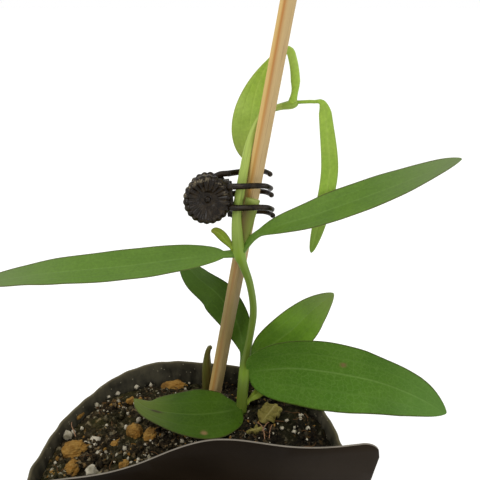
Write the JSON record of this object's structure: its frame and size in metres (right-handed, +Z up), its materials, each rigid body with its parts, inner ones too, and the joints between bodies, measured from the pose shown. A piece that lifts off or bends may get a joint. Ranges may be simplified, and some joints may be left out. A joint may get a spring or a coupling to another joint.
{
  "type": "potted clematis",
  "caption": "Young clematis in a round nursery pot, tied to a leaning split cane by a fluted spring clip, with a blank plant label standing in the potting mix.",
  "frame": {"origin": "centre of the pot's flat base, on the ground", "axes": "+Z up out of the pot, -Y towards the side with the plant label, +X to the right seen from that side"},
  "size_m": [0.1563, 0.1041, 0.2404],
  "materials": {
    "pot_plastic": "thin black plastic, dusty, matt",
    "potting_mix": "moist dark peat and coir mix with perlite, rough",
    "bark": "tan bark chips, rough",
    "cane": "split bamboo, satin, with fine dark fibres",
    "stem": "fresh green stem, slightly ribbed, satin",
    "mature_leaf": "mid green leathery leaf, satin, netted veins",
    "dark_leaf": "dark green leaf in shade, satin",
    "young_leaf": "fresh light green leaf, satin",
    "dry_stem": "dead olive brown shoot, matt",
    "withered_leaf": "papery dead leaf, matt",
    "label_plastic": "dark brown plastic card, soft sheen, pale cut edge, blank",
    "clip_plastic": "dark brown moulded plastic, semi-gloss, dusty",
    "spring_steel": "plain steel wire"
  },
  "bodies": {
    "plant": {"nursery_pot": "pot_plastic", "bamboo_stake": "cane", "main_stem": "stem", "potting_mix": "potting_mix", "bark_chunk_1": "bark", "bark_chunk_2": "bark", "bark_chunk_3": "bark", "bark_chunk_4": "bark", "bark_chunk_5": "bark", "bark_chunk_6": "bark", "bark_chunk_7": "bark", "bark_chunk_8": "bark", "long_leaf_left": "mature_leaf", "long_leaf_right": "mature_leaf", "broad_leaf_right": "mature_leaf", "upright_leaf_right": "mature_leaf", "dark_leaf_behind": "dark_leaf", "low_leaf_left": "dark_leaf", "arched_young_leaf": "young_leaf", "drooping_young_leaf": "young_leaf", "axil_bud_leaf": "young_leaf", "basal_leaflet": "young_leaf", "withered_leaf_large": "withered_leaf", "withered_leaf_small": "withered_leaf", "cut_side_shoot": "stem", "dry_shoot": "dry_stem", "plant_label": "label_plastic", "clip_front_jaw": "clip_plastic", "clip_hinge_pin": "spring_steel", "clip_spring": "spring_steel"},
    "rear_jaw": {"clip_rear_jaw": "clip_plastic"}
  },
  "joints": [
    {"name": "clip_hinge", "type": "hinge", "parent": "plant", "child": "rear_jaw", "pos_m": [0.011, 0.0366, 0.1649], "axis": [-0.0785, 0.1731, 0.9818], "range_deg": [0, 28], "stiffness_Nm_per_rad": 0.01, "springref_deg": -11.46}
  ]
}
